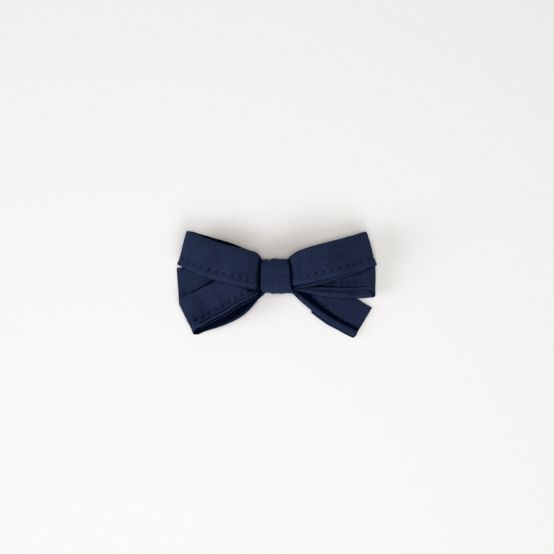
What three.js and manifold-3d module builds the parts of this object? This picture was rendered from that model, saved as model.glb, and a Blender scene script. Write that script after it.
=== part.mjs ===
// A hand-tied hair bow on a sprung alligator clip, in millimetres.
//
// The bow lies face up: +X runs along its length, +Y towards its upper edge, +Z out of its front.
// The origin is the centre of the bow's footprint, on the surface that it lies on.
// Four folded loops and two tails of hemmed cotton are pinched together by a wound thread. A cotton
// wrap hides the pinch and holds the bow on the clip's upper arm. The lower arm turns on a pin.
import * as THREE from "three";
import Module from "manifold-3d";

const wasm = await Module();
wasm.setup();

// ---------- driving dimensions ----------
const STRIP_WIDTH = 16; // the cotton strip, hemmed
const CLOTH = 0.6; // its thickness, two layers of poplin
const GAP = 0.3; // between pieces that touch on the real bow
const TOPSTITCH_INSET = 3.3; // the seam's distance from the strip's lower edge
const THREAD_RADIUS = 0.2;
const TOPSTITCH_RADIUS = 0.15;
const FOLD_RADIUS = 1.2; // the strip's middle surface, where a loop turns back

const KNOT = { x: -0.9, y: 3.5, halfLength: 7.1, halfHeight: 7.6 };
const BUNDLE_HALF = 6; // half the width that the strips are pinched to
const KNOT_CORNER = 2.6;
const BUNDLE_CORNER = 1.2;
const KNOT_CLEARANCE = 0.5; // from the clip's upper arm to the gathering thread

// The clip lies along X under the knot.
const CLIP = { tail: -23, tip: 21.5, sheet: 0.6, halfWidth: 3.6, tabCorner: 2 };
const JAW_HALF_WIDTH = 2.6; // the lower arm fits between the upper arm's ears
const ARM_FLOOR = 5.9; // underside of the upper arm
const HINGE = { x: -11, z: 3.25, pinRadius: 0.6 };

const ARM_TOP = ARM_FLOOR + CLIP.sheet;
const BUNDLE_FLOOR = ARM_TOP + KNOT_CLEARANCE + 2 * THREAD_RADIUS + GAP;
const PLY_PITCH = CLOTH + GAP;
const PLY_COUNT = 5;
const BUNDLE_TOP = BUNDLE_FLOOR + PLY_COUNT * CLOTH + (PLY_COUNT - 1) * GAP;
const WRAP_TOP = BUNDLE_TOP + 2 * (GAP + THREAD_RADIUS) + CLOTH; // outside of the wrap, in front
const WRAP_FLOOR = ARM_FLOOR - GAP - CLOTH; // outside of the wrap's first turn, behind

// ---------- materials ----------
const finish = (color, roughness, metalness = 0) =>
  new THREE.MeshStandardMaterial({ color, roughness, metalness });
const COTTON = finish(0x1d2946, 0.85);
const THREAD = finish(0x18223c, 0.6);
const LINING = finish(0x1a2540, 0.8);
const STEEL = finish(0xb9bcc0, 0.3, 1);
const SPRING_STEEL = finish(0x9a9da2, 0.35, 1);

// ---------- helpers ----------
const radians = THREE.MathUtils.degToRad;

const bow = new THREE.Group();

function addPiece(name, geometry, material) {
  const mesh = new THREE.Mesh(geometry, material);
  mesh.name = name;
  bow.add(mesh);
}

// The height of a strip's middle surface at a ply of the pinched bundle, counted from the back.
const plyHeight = (ply) => BUNDLE_FLOOR + CLOTH / 2 + ply * PLY_PITCH;

// A strip as a closed solid. Each station holds the strip's two long edges, as Vector3s.
function stripGeometry(stations, thickness) {
  const corners = stations.map(({ upper, lower }, i) => {
    const before = stations[Math.max(i - 1, 0)];
    const after = stations[Math.min(i + 1, stations.length - 1)];
    const along = after.upper.clone().add(after.lower).sub(before.upper).sub(before.lower);
    const half = lower.clone().sub(upper).cross(along).setLength(thickness / 2);
    return [
      upper.clone().add(half),
      lower.clone().add(half),
      lower.clone().sub(half),
      upper.clone().sub(half),
    ];
  });
  const positions = [];
  const quad = (a, b, c, d) => [a, b, c, a, c, d].forEach((p) => positions.push(p.x, p.y, p.z));
  for (let i = 1; i < corners.length; i++)
    for (let k = 0; k < 4; k++) {
      const next = (k + 1) % 4;
      quad(corners[i - 1][k], corners[i - 1][next], corners[i][next], corners[i][k]);
    }
  quad(...corners[0].slice().reverse());
  quad(...corners[corners.length - 1]);
  return new THREE.BufferGeometry().setAttribute(
    "position",
    new THREE.Float32BufferAttribute(positions, 3),
  );
}

// A thread or wire of round section along a curve.
function wireGeometry(curve, radius, steps, sides = 6) {
  const section = new THREE.Shape();
  for (let k = 0; k < sides; k++) {
    const turn = (2 * Math.PI * k) / sides;
    section[k ? "lineTo" : "moveTo"](radius * Math.cos(turn), radius * Math.sin(turn));
  }
  return new THREE.ExtrudeGeometry(section, { steps, bevelEnabled: false, extrudePath: curve });
}

// A rounded rectangle in the plane across the bow, as a path of (y, z) from the middle of its back.
function roundedSection(halfWidth, low, high, radius) {
  const path = new THREE.Path();
  path.moveTo(KNOT.y, low);
  path.lineTo(KNOT.y + halfWidth - radius, low);
  path.absarc(KNOT.y + halfWidth - radius, low + radius, radius, -Math.PI / 2, 0);
  path.absarc(KNOT.y + halfWidth - radius, high - radius, radius, 0, Math.PI / 2);
  path.absarc(KNOT.y - halfWidth + radius, high - radius, radius, Math.PI / 2, Math.PI);
  path.absarc(KNOT.y - halfWidth + radius, low + radius, radius, Math.PI, 1.5 * Math.PI);
  path.lineTo(KNOT.y, low);
  return path;
}

// ---------- loops and tails ----------
// side: -1 left, 1 right. rise: the root's centre above the knot's. angle: the strip's direction above
// the horizontal, and endAngle that of its end. reach: from the knot's side to the end. front and back
// are the heights of the two plies, as [distance from the knot's side, height] after the root.
const LOOPS = [
  {
    name: "upper_left_loop", side: -1, plies: [4, 3], rise: 2.3, rootWidth: 15, angle: 17.2,
    endAngle: 14.2, reach: 35.7, tip: 6.9, stitchFrom: 2,
    front: [[3, 14], [12, 17.4], [20, 17], [29, 12.6]],
    back: [[5, 12.2], [13, 13.2], [22, 12], [30, 8.8]],
    sway: 1.4,
  },
  {
    name: "upper_right_loop", side: 1, plies: [4, 3], rise: 2.4, rootWidth: 12.4, angle: 15.1,
    endAngle: 16.1, reach: 37.65, tip: 8.6, stitchFrom: 2,
    front: [[3, 14], [12, 17.4], [20, 17.2], [30, 13.4]],
    back: [[5, 12.2], [13, 13.2], [22, 12.8], [31, 10]],
    sway: 0,
  },
  {
    name: "lower_left_loop", side: -1, plies: [2, 1], rise: 0.7, rootWidth: 14.6, angle: -30.3,
    endAngle: -22.7, reach: 37.9, tip: 4.3, stitchFrom: 9,
    front: [[6, 10.7], [13, 11.3], [20, 10.8], [29, 8.2]],
    back: [[6, 8.9], [14, 8.6], [22, 7.4], [30, 5.2]],
    sway: -3.4,
  },
  {
    name: "lower_right_loop", side: 1, plies: [2, 1], rise: 1.2, rootWidth: 12, angle: -0.4,
    endAngle: -0.7, reach: 38.4, tip: 4.5, stitchFrom: 9,
    front: [[6, 10.7], [13, 11.3], [20, 10.8], [30, 8.2]],
    back: [[6, 9], [14, 8.9], [22, 8], [31, 5.6]],
    sway: -2.2,
  },
];

const TAILS = [
  {
    name: "left_tail", side: -1, rise: -0.8, rootWidth: 13, angle: -5, endAngle: -4.9, reach: 36.4,
    stitchFrom: 24,
    heights: [[8, 7.6], [15, 7.3], [20, 6.2], [28, 3.1], [36.4, CLOTH / 2]],
  },
  {
    name: "right_tail", side: 1, rise: -2.3, rootWidth: 12, angle: -29.5, endAngle: -30.2,
    reach: 37.3, stitchFrom: 26,
    heights: [[8, 8], [16, 7.8], [24, 5.8], [31, 2.6], [37.3, CLOTH / 2]],
  },
];

const SPREAD = 6; // the strip has its full width again this far from the knot
const EMERGES = 1.4; // and has left the knot's own line this far from it
const ROOT_START = 0.2; // the strips of the two sides meet this near the knot's middle

// The strip's two edges at a distance from the knot's side, at a given height. sway moves the strip's
// middle sideways, most of all half way along.
function edgesAt(strip, distance, height, sway = 0) {
  const share = distance / strip.reach;
  const out = radians(strip.angle);
  const centre = new THREE.Vector3(
    KNOT.x + strip.side * (KNOT.halfLength + distance * Math.cos(out)),
    KNOT.y + strip.rise + distance * Math.sin(out) + sway * Math.sin(Math.PI * share),
    height,
  );
  const lean = radians(strip.endAngle) * share;
  const widening = THREE.MathUtils.smoothstep(distance, 0, SPREAD);
  const half = THREE.MathUtils.lerp(strip.rootWidth, STRIP_WIDTH, widening) / 2;
  const across = new THREE.Vector3(-strip.side * Math.sin(lean), Math.cos(lean), 0);
  return {
    distance,
    upper: centre.clone().addScaledVector(across, half),
    lower: centre.clone().addScaledVector(across, -half),
  };
}

// The strip's edges inside the knot, from its middle to its side.
function pinchedStations(side, height) {
  const insideEnd = KNOT.halfLength - GAP;
  return [ROOT_START, insideEnd].map((distance) => ({
    upper: new THREE.Vector3(KNOT.x + side * distance, KNOT.y + BUNDLE_HALF, height),
    lower: new THREE.Vector3(KNOT.x + side * distance, KNOT.y - BUNDLE_HALF, height),
  }));
}

// One ply from the knot outwards: heights holds [distance, height] pairs, the last at its end.
function plyStations(strip, ply, heights, sway = 0) {
  const root = plyHeight(ply);
  const first = heights[0];
  const emerging = root + (EMERGES / first[0]) * (first[1] - root);
  const profile = new THREE.SplineCurve(
    [[EMERGES, emerging], ...heights].map(([d, z]) => new THREE.Vector2(d, z)),
  );
  const outside = profile
    .getPoints(2 * heights.length)
    .map((point) => edgesAt(strip, point.x, point.y, sway));
  return [...pinchedStations(strip.side, root), ...outside];
}

// A loop runs out along its front ply, turns back in a fold and returns along its back ply.
function loopPlies(loop) {
  const [frontPly, backPly] = loop.plies;
  const turn = loop.reach - FOLD_RADIUS;
  const front = plyStations(loop, frontPly, [...loop.front, [turn, loop.tip + FOLD_RADIUS]]);
  const fold = [60, 30, 0, -30, -60].map((degrees) =>
    edgesAt(
      loop,
      turn + FOLD_RADIUS * Math.cos(radians(degrees)),
      loop.tip + FOLD_RADIUS * Math.sin(radians(degrees)),
    ),
  );
  const backHeights = [...loop.back, [turn, loop.tip - FOLD_RADIUS]];
  const back = plyStations(loop, backPly, backHeights, loop.sway).reverse();
  return { front, fold, back };
}

// The topstitch thread lies on a ply's front, TOPSTITCH_INSET in from the strip's lower edge.
function topstitchCurve(stations) {
  const lift = CLOTH / 2 + GAP + TOPSTITCH_RADIUS;
  const points = stations.map(({ upper, lower }, i) => {
    const before = stations[Math.max(i - 1, 0)];
    const after = stations[Math.min(i + 1, stations.length - 1)];
    const across = upper.clone().sub(lower).normalize();
    const along = after.lower.clone().sub(before.lower);
    const normal = along.cross(across).normalize();
    if (normal.z < 0) normal.negate();
    return lower.clone().addScaledVector(across, TOPSTITCH_INSET).addScaledVector(normal, lift);
  });
  return new THREE.CatmullRomCurve3(points);
}

function addTopstitch(strip, ply) {
  const stitched = ply.filter((station) => station.distance >= strip.stitchFrom);
  const geometry = wireGeometry(topstitchCurve(stitched), TOPSTITCH_RADIUS, 2 * stitched.length);
  addPiece(`${strip.name}_topstitch`, geometry, THREAD);
}

for (const loop of LOOPS) {
  const { front, fold, back } = loopPlies(loop);
  addPiece(loop.name, stripGeometry([...front, ...fold, ...back], CLOTH), COTTON);
  addTopstitch(loop, front);
}

for (const tail of TAILS) {
  const ply = plyStations(tail, 0, tail.heights);
  addPiece(tail.name, stripGeometry(ply, CLOTH), COTTON);
  addTopstitch(tail, ply);
}

// ---------- gathering thread ----------
// Wound tightly round the pinched strips, under the wrap.
class WoundThread extends THREE.Curve {
  constructor(section, turns, span) {
    super();
    Object.assign(this, { section, turns, span });
  }
  getPoint(t) {
    const around = (t * this.turns) % 1;
    const { x: y, y: z } = this.section.getPointAt(t === 1 ? 1 : around);
    return new THREE.Vector3(KNOT.x + (t - 0.5) * this.span, y, z);
  }
}

const WINDING = { turns: 4, span: 3.6, stepsPerTurn: 26 };

function gatheringThread() {
  const clear = GAP + THREAD_RADIUS;
  const section = roundedSection(
    BUNDLE_HALF + clear,
    BUNDLE_FLOOR - clear,
    BUNDLE_TOP + clear,
    BUNDLE_CORNER,
  );
  const winding = new WoundThread(section, WINDING.turns, WINDING.span);
  return wireGeometry(winding, THREAD_RADIUS, WINDING.turns * WINDING.stepsPerTurn);
}
addPiece("gathering_thread", gatheringThread(), THREAD);

// ---------- centre wrap ----------
// A band round the pinch and the clip's upper arm. Its end laps over its start behind.
const WRAP_START = 1.1; // where the band starts, above the middle of the back
const WRAP_LAP = 4.2; // how far the band's end runs past the middle of the back

function wrapStations() {
  const middle = CLOTH / 2;
  const floor = WRAP_FLOOR + middle;
  const section = roundedSection(
    KNOT.halfHeight - middle,
    floor,
    WRAP_TOP - middle,
    KNOT_CORNER,
  );
  // The section's first and last points are both the middle of its back.
  const turn = section.getPoints(7).slice(1, -1);
  const start = new THREE.Vector2(KNOT.y + WRAP_START, floor);
  const lap = [
    new THREE.Vector2(KNOT.y - 0.6, floor),
    new THREE.Vector2(KNOT.y - 0.2, floor - 0.2),
    new THREE.Vector2(KNOT.y + 0.8, floor - PLY_PITCH),
    new THREE.Vector2(KNOT.y + WRAP_LAP, floor - PLY_PITCH),
  ];
  return [start, ...turn, ...lap].map((p) => ({
    upper: new THREE.Vector3(KNOT.x - KNOT.halfLength, p.x, p.y),
    lower: new THREE.Vector3(KNOT.x + KNOT.halfLength, p.x, p.y),
  }));
}
addPiece("centre_wrap", stripGeometry(wrapStations(), CLOTH), COTTON);

// Whip stitches that close the wrap behind, as one thread that zigzags along its end.
const WHIP = { stitches: 9, inset: 1, past: 0.6, before: -0.9, tension: 0.2 };

function closingThread() {
  const height = WRAP_FLOOR - PLY_PITCH - GAP - TOPSTITCH_RADIUS;
  const reach = KNOT.halfLength - WHIP.inset;
  const points = [];
  for (let i = 0; i <= WHIP.stitches; i++) {
    const x = KNOT.x + reach * ((2 * i) / WHIP.stitches - 1);
    const side = i % 2 ? WHIP.past : WHIP.before;
    points.push(new THREE.Vector3(x, KNOT.y + WRAP_LAP + side, height));
  }
  const curve = new THREE.CatmullRomCurve3(points, false, "catmullrom", WHIP.tension);
  return wireGeometry(curve, TOPSTITCH_RADIUS, WHIP.stitches * 4);
}
addPiece("wrap_closing_thread", closingThread(), THREAD);

// ---------- clip ----------
const EAR_SHEET = 0.6;
const PIN_CLEARANCE = 0.15;
const LINING_THICKNESS = 0.4;
const JOIN = 0.1; // how far a piece reaches into the sheet that it is one with
const RIB = { count: 3, from: 2.2, pitch: 1.6, width: 0.7, height: 0.3, halfLength: 2.4 };

// A closed geometry as a manifold-3d solid, and back.
function solidOf(geometry) {
  const plain = geometry.index ? geometry.toNonIndexed() : geometry;
  const source = plain.getAttribute("position");
  const seen = new Map();
  const points = [];
  const triangles = [];
  for (let i = 0; i < source.count; i++) {
    const point = [source.getX(i), source.getY(i), source.getZ(i)];
    const key = point.map((value) => Math.round(value * 1e4)).join();
    if (!seen.has(key)) {
      seen.set(key, points.length / 3);
      points.push(...point);
    }
    triangles.push(seen.get(key));
  }
  return new wasm.Manifold(
    new wasm.Mesh({
      numProp: 3,
      vertProperties: new Float32Array(points),
      triVerts: new Uint32Array(triangles),
    }),
  );
}

function geometryOf(solid) {
  const { vertProperties, triVerts } = solid.getMesh();
  return new THREE.BufferGeometry()
    .setAttribute("position", new THREE.BufferAttribute(vertProperties, 3))
    .setIndex(new THREE.BufferAttribute(triVerts, 1));
}

// A side outline in (x, z), as thick as from yLow to yHigh across the clip.
function sideSolid(shape, yLow, yHigh, curveSegments = 8) {
  const depth = yHigh - yLow;
  const geometry = new THREE.ExtrudeGeometry(shape, { depth, bevelEnabled: false, curveSegments });
  geometry.rotateX(Math.PI / 2);
  geometry.translate(0, KNOT.y + yHigh, 0);
  return solidOf(geometry);
}

// A plan outline in (x, y), from one height to another.
function planSolid(shape, low, high, curveSegments = 8) {
  const depth = high - low;
  const geometry = new THREE.ExtrudeGeometry(shape, { depth, bevelEnabled: false, curveSegments });
  geometry.translate(0, KNOT.y, low);
  return solidOf(geometry);
}

// The arm's plan: a broad finger tab behind, a narrower jaw from the hinge on and a rounded tip.
function armPlan(tabHalf, armHalf, tipHalf, tip) {
  const tabEnd = HINGE.x - 4;
  const jawStart = HINGE.x - 3;
  const taperStart = HINGE.x + 8;
  const corner = CLIP.tabCorner;
  const plan = new THREE.Shape();
  plan.moveTo(CLIP.tail + corner, -tabHalf);
  plan.lineTo(tabEnd, -tabHalf);
  plan.lineTo(jawStart, -armHalf);
  plan.lineTo(taperStart, -armHalf);
  plan.lineTo(tip - tipHalf, -tipHalf);
  plan.absarc(tip - tipHalf, 0, tipHalf, -Math.PI / 2, Math.PI / 2);
  plan.lineTo(taperStart, armHalf);
  plan.lineTo(jawStart, armHalf);
  plan.lineTo(tabEnd, tabHalf);
  plan.lineTo(CLIP.tail + corner, tabHalf);
  plan.quadraticCurveTo(CLIP.tail, tabHalf, CLIP.tail, tabHalf - corner);
  plan.lineTo(CLIP.tail, corner - tabHalf);
  plan.quadraticCurveTo(CLIP.tail, -tabHalf, CLIP.tail + corner, -tabHalf);
  return plan;
}

// One ear beside the hinge: a plate with a round end about the pin. base is where it joins its arm.
function earShape(base, radius) {
  const ear = new THREE.Shape();
  const down = base > HINGE.z;
  const foot = radius + 0.7;
  ear.moveTo(HINGE.x - foot, base);
  ear.lineTo(HINGE.x - radius, HINGE.z);
  ear.absarc(HINGE.x, HINGE.z, radius, Math.PI, down ? 2 * Math.PI : 0, !down);
  ear.lineTo(HINGE.x + foot, base);
  return ear;
}

function addEars(arm, base, radius, outside) {
  const shape = earShape(base, radius);
  return arm
    .add(sideSolid(shape, outside - EAR_SHEET, outside))
    .add(sideSolid(shape, -outside, EAR_SHEET - outside));
}

function pinHole() {
  const circle = new THREE.Shape();
  circle.absarc(HINGE.x, HINGE.z, HINGE.pinRadius + PIN_CLEARANCE, 0, 2 * Math.PI);
  const reach = 2 * CLIP.halfWidth;
  return sideSolid(circle, -reach, reach, 10);
}

// A pressed rib that keeps a finger from slipping off a tab, counted from the tab's end.
function gripRib(index) {
  const start = CLIP.tail + RIB.from + RIB.pitch * index;
  const rib = new THREE.Shape();
  rib.moveTo(start, CLIP.sheet - JOIN);
  rib.lineTo(start + RIB.width / 2, CLIP.sheet + RIB.height);
  rib.lineTo(start + RIB.width, CLIP.sheet - JOIN);
  return sideSolid(rib, -RIB.halfLength, RIB.halfLength);
}

function upperArm() {
  const plan = armPlan(CLIP.halfWidth, CLIP.halfWidth, CLIP.halfWidth - 0.6, CLIP.tip);
  const plate = planSolid(plan, ARM_FLOOR, ARM_TOP);
  const arm = addEars(plate, ARM_FLOOR + JOIN, 1.9, CLIP.halfWidth);
  return geometryOf(arm.subtract(pinHole()));
}
addPiece("clip_upper_arm", upperArm(), STEEL);

// The lower arm lies flat, then bows up so that its toothed tip meets the upper arm's lining.
const TEETH = { count: 4, pitch: 0.8, depth: 0.5 };
const JAW = {
  tip: CLIP.tip - 0.4,
  top: ARM_FLOOR - GAP - LINING_THICKNESS - 0.15, // the points of the teeth
  bend: CLIP.tip - 8.5, // where the flat part ends
};

function lowerArmSide() {
  const { tip, top, bend } = JAW;
  const gullet = top - TEETH.depth;
  const underside = gullet - CLIP.sheet;
  const side = new THREE.Shape();
  side.moveTo(CLIP.tail, 0);
  side.lineTo(bend, 0);
  side.bezierCurveTo(bend + 3, 0, tip - 5.4, underside, tip - 2.6, underside);
  side.lineTo(tip, underside);
  side.lineTo(tip, gullet);
  for (let i = 0; i < TEETH.count; i++) {
    side.lineTo(tip - TEETH.pitch * (i + 0.5), top);
    side.lineTo(tip - TEETH.pitch * (i + 1), gullet);
  }
  side.bezierCurveTo(tip - 6.2, gullet, bend + 2.4, CLIP.sheet, bend - 0.4, CLIP.sheet);
  side.lineTo(CLIP.tail, CLIP.sheet);
  return side;
}

function lowerArm() {
  const bar = sideSolid(lowerArmSide(), -CLIP.halfWidth, CLIP.halfWidth);
  const plan = armPlan(CLIP.halfWidth, JAW_HALF_WIDTH, JAW_HALF_WIDTH - 0.4, JAW.tip);
  const blank = bar.intersect(planSolid(plan, -1, ARM_FLOOR));
  let arm = addEars(blank, CLIP.sheet - JOIN, 1.7, JAW_HALF_WIDTH);
  for (let i = 0; i < RIB.count; i++) {
    arm = arm.add(gripRib(i));
  }
  return geometryOf(arm.subtract(pinHole()));
}
addPiece("clip_lower_arm", lowerArm(), STEEL);

// The pin's shank passes all four ears, and its two heads keep it in.
const PIN_HEAD = { radius: 1.05, length: 0.45, chamfer: 0.3 };

function hingePin() {
  const shank = CLIP.halfWidth + PIN_CLEARANCE;
  const end = shank + PIN_HEAD.length;
  const rim = end - PIN_HEAD.chamfer;
  const half = [
    [HINGE.pinRadius, shank],
    [PIN_HEAD.radius, shank],
    [PIN_HEAD.radius, rim],
    [PIN_HEAD.radius - PIN_HEAD.chamfer, end],
    [0, end],
  ];
  const mirrored = half.map(([radius, y]) => [radius, -y]).reverse();
  const profile = [...mirrored, ...half].map(([radius, y]) => new THREE.Vector2(radius, y));
  return new THREE.LatheGeometry(profile, 16).translate(HINGE.x, KNOT.y, HINGE.z);
}
addPiece("hinge_pin", hingePin(), STEEL);

// The torsion spring: a coil round the pin, with a leg under each finger tab.
const SPRING = { wire: 0.22, radius: 1.2, turns: 5, pitch: 0.56, leg: 8, steps: 110 };

function springCurve() {
  const half = (SPRING.turns * SPRING.pitch) / 2;
  const legs = [
    { z: ARM_FLOOR - GAP - SPRING.wire, y: half },
    { z: CLIP.sheet + RIB.height + GAP + SPRING.wire, y: -half },
  ];
  // Each leg's angle about the pin, tangent to the coil where it leaves.
  const away = (leg) => Math.atan2(leg.z - HINGE.z, -SPRING.leg);
  const lean = Math.acos(SPRING.radius / Math.hypot(SPRING.leg, legs[0].z - HINGE.z));
  const start = away(legs[1]) + lean;
  const end = away(legs[0]) - lean + 2 * Math.PI * SPRING.turns;
  const points = [new THREE.Vector3(HINGE.x - SPRING.leg, KNOT.y + legs[1].y, legs[1].z)];
  const steps = SPRING.turns * 10;
  for (let i = 0; i <= steps; i++) {
    const turn = THREE.MathUtils.lerp(start, end, i / steps);
    points.push(
      new THREE.Vector3(
        HINGE.x + SPRING.radius * Math.cos(turn),
        KNOT.y + THREE.MathUtils.lerp(-half, half, i / steps),
        HINGE.z + SPRING.radius * Math.sin(turn),
      ),
    );
  }
  points.push(new THREE.Vector3(HINGE.x - SPRING.leg, KNOT.y + legs[0].y, legs[0].z));
  const curve = new THREE.CurvePath();
  for (let i = 1; i < points.length; i++) {
    curve.add(new THREE.LineCurve3(points[i - 1], points[i]));
  }
  return new THREE.CatmullRomCurve3(curve.getSpacedPoints(SPRING.steps));
}
const springWire = wireGeometry(springCurve(), SPRING.wire, SPRING.steps);
addPiece("torsion_spring", springWire, SPRING_STEEL);

// Ribbon glued under the upper arm's jaw, turned over its tip.
const LINING_INSET = 0.6; // from the arm's long edges, and from the wrap
const LINING_TURNOVER = 5; // how much of it lies on the arm's front

function liningGeometry() {
  const half = LINING_THICKNESS / 2;
  const under = ARM_FLOOR - GAP - half;
  const over = ARM_TOP + GAP + half;
  const middle = (under + over) / 2;
  const radius = (over - under) / 2;
  const tip = CLIP.tip + GAP + half;
  const run = [
    [KNOT.x + KNOT.halfLength + LINING_INSET, under],
    [tip - radius, under],
  ];
  for (const degrees of [-60, -30, 0, 30, 60]) {
    const turn = radians(degrees);
    run.push([tip - radius + radius * Math.cos(turn), middle + radius * Math.sin(turn)]);
  }
  run.push([tip - radius, over], [tip - LINING_TURNOVER, over]);
  const reach = CLIP.halfWidth - LINING_INSET;
  const stations = run.map(([x, z]) => ({
    upper: new THREE.Vector3(x, KNOT.y + reach, z),
    lower: new THREE.Vector3(x, KNOT.y - reach, z),
  }));
  return stripGeometry(stations, LINING_THICKNESS);
}
addPiece("clip_lining", liningGeometry(), LINING);

export default bow;
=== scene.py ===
"""A navy cotton hair bow on a sprung clip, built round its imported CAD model.

Lengths are in millimetres until a mesh is made, and places are in the CAD model's frame.
"""

import math

import bmesh
import bpy
import numpy as np
from mathutils.bvhtree import BVHTree
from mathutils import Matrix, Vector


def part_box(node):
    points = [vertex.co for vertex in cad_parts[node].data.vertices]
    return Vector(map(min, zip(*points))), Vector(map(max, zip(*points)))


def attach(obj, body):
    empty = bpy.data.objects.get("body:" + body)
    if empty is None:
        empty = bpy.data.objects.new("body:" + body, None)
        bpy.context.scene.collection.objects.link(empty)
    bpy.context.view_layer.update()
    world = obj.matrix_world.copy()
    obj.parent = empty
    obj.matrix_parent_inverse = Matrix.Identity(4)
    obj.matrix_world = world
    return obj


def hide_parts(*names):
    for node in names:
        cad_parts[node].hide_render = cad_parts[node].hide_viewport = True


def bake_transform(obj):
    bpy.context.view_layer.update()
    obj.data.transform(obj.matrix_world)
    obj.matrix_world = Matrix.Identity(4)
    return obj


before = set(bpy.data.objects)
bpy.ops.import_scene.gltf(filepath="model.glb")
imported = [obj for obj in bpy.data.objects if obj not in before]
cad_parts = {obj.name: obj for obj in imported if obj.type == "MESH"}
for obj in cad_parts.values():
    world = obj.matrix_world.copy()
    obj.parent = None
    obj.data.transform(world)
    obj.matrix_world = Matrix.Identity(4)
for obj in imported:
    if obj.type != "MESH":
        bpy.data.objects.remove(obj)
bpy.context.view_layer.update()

MM = 0.001

# ---- sizes, in millimetres ----
STRIP_WIDTH = 16.0
SEAM_INSET = 3.3  # the topstitches' distance from the strip's lower edge
STITCH_PITCH = 3.6
STITCH_GAP = 0.8  # the cloth between one stitch's end and the next one's start
THREAD_RADIUS = 0.15
FOLD_RADIUS = 0.8
MESH_STEP = 0.36  # along a strip
SETTLE = 5.0  # a strip has its full thickness this far from the knot
PINCH = 0.6  # its share of that thickness inside the knot
PUCKER = 0.09  # how far a stitch pulls the cloth in
LIP_OPENING = 0.22  # how far each lip stands off, below the seam
BACK_UV = 40.0  # how far a cloth's inner face is from its outer one, in its UV map
SAG = 0.34  # how far the free cloth strays from its smooth shape, over 8 mm and more
CRUMPLE = 0.06  # and over less
EDGE_WAVER = 0.12
SCALLOP_PITCH = 2.3

WRAP_SHADE = 0.34  # painted shade beside the wrap
LIP_SHADE = 0.45  # and painted shade between a strip's two lips
# rays that measure how far cloth shuts a point in, for the painted shade in creases
DEPTH_RAYS = 14
DEPTH_REACH = 6.0  # cloth further off than this doesn't shut a point in

BOW_BODY = "bow"
ARM_BODY = "lower_arm"
UP = Vector((0, 0, 1))


def box_mm(node):
    return (np.array(corner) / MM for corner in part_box(node))


WRAP_LOW, WRAP_HIGH = box_mm("centre_wrap")
KNOT = (WRAP_LOW + WRAP_HIGH) / 2


# ---- smooth helpers ----
def smooth(x):
    x = np.clip(x, 0.0, 1.0)
    return x * x * (3 - 2 * x)


def unit(vectors):
    return vectors / np.linalg.norm(vectors, axis=1)[:, None]


def run_length(points):
    """The distance along a row of points to each of them."""
    return np.concatenate([[0], np.cumsum(np.linalg.norm(np.diff(points, axis=0), axis=1))])


def resample(rows, at, even):
    """The rows' columns, read at even places instead of at their own."""
    return np.stack([np.interp(even, at, column) for column in rows.T], axis=1)


def bell(x, breadth):
    return np.exp(-((x / breadth) ** 2))


def curve_through(stations, step):
    """Rows a steady step apart on a smooth curve through stations. Columns 0 to 2 are the place."""
    rows = np.array(stations, float)
    at = run_length(rows[:, :3])
    slope = np.gradient(rows, at, axis=0)
    fine = np.linspace(0, at[-1], 3000)
    i = np.clip(np.searchsorted(at, fine, side="right") - 1, 0, len(at) - 2)
    span = (at[i + 1] - at[i])[:, None]
    t = (fine - at[i])[:, None] / span
    out = (
        (2 * t**3 - 3 * t**2 + 1) * rows[i]
        + (t**3 - 2 * t**2 + t) * span * slope[i]
        + (3 * t**2 - 2 * t**3) * rows[i + 1]
        + (t**3 - t**2) * span * slope[i + 1]
    )
    length = run_length(out[:, :3])
    even = np.linspace(0, length[-1], max(int(length[-1] / step), 2) + 1)
    return even, resample(out, length, even)


class Ripple:
    """Smooth seeded unevenness over a sheet, about 1 high at most."""

    def __init__(self, seed, longest, shortest, count=14):
        rng = np.random.default_rng(seed)
        wavelength = np.exp(rng.uniform(math.log(shortest), math.log(longest), count))
        turn = rng.uniform(0, 2 * math.pi, count)
        self.along = 2 * math.pi / wavelength * np.cos(turn)
        self.across = 2 * math.pi / wavelength * np.sin(turn)
        self.phase = rng.uniform(0, 2 * math.pi, count)
        self.share = wavelength / wavelength.sum()

    def __call__(self, s, w):
        s, w = np.broadcast_arrays(s, w)
        waves = np.sin(s[..., None] * self.along + w[..., None] * self.across + self.phase)
        return (waves * self.share).sum(axis=-1) * 1.6


# ---- meshes ----
def add_object(name, data):
    thing = bpy.data.objects.new(name, data)
    bpy.context.scene.collection.objects.link(thing)
    return thing


def store(mesh, name, numbers):
    """Keep a number for each point, which a material can read."""
    attribute = mesh.attributes.new(name, "FLOAT", "POINT")
    attribute.data.foreach_set("value", np.asarray(numbers, np.float32).ravel())


def make_piece(name, points, faces, material, body, uv=None, values=None):
    """A mesh piece from points in millimetres, with a UV and named values for each point."""
    mesh = bpy.data.meshes.new(name)
    mesh.from_pydata((np.asarray(points) * MM).tolist(), [], faces)
    if uv is not None:
        layer = mesh.uv_layers.new(name="cloth")
        loops = np.zeros(len(mesh.loops), np.int32)
        mesh.loops.foreach_get("vertex_index", loops)
        layer.data.foreach_set("uv", np.asarray(uv, np.float32)[loops].ravel())
    for key, numbers in (values or {}).items():
        store(mesh, key, numbers)
    work = bmesh.new()
    work.from_mesh(mesh)
    bmesh.ops.recalc_face_normals(work, faces=work.faces)
    work.to_mesh(mesh)
    work.free()
    mesh.shade_smooth()
    mesh.materials.append(material)
    piece = add_object(name, mesh)
    if body is not None:
        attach(piece, body)
    return piece


def tube_faces(rings, sides):
    """Faces that join rings of points, each of sides points, and close both ends."""
    faces = []
    for i in range(rings - 1):
        for k in range(sides):
            n = (k + 1) % sides
            faces.append((i * sides + k, i * sides + n, (i + 1) * sides + n, (i + 1) * sides + k))
    faces.append(tuple(range(sides))[::-1])
    faces.append(tuple(range((rings - 1) * sides, rings * sides)))
    return faces


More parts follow.
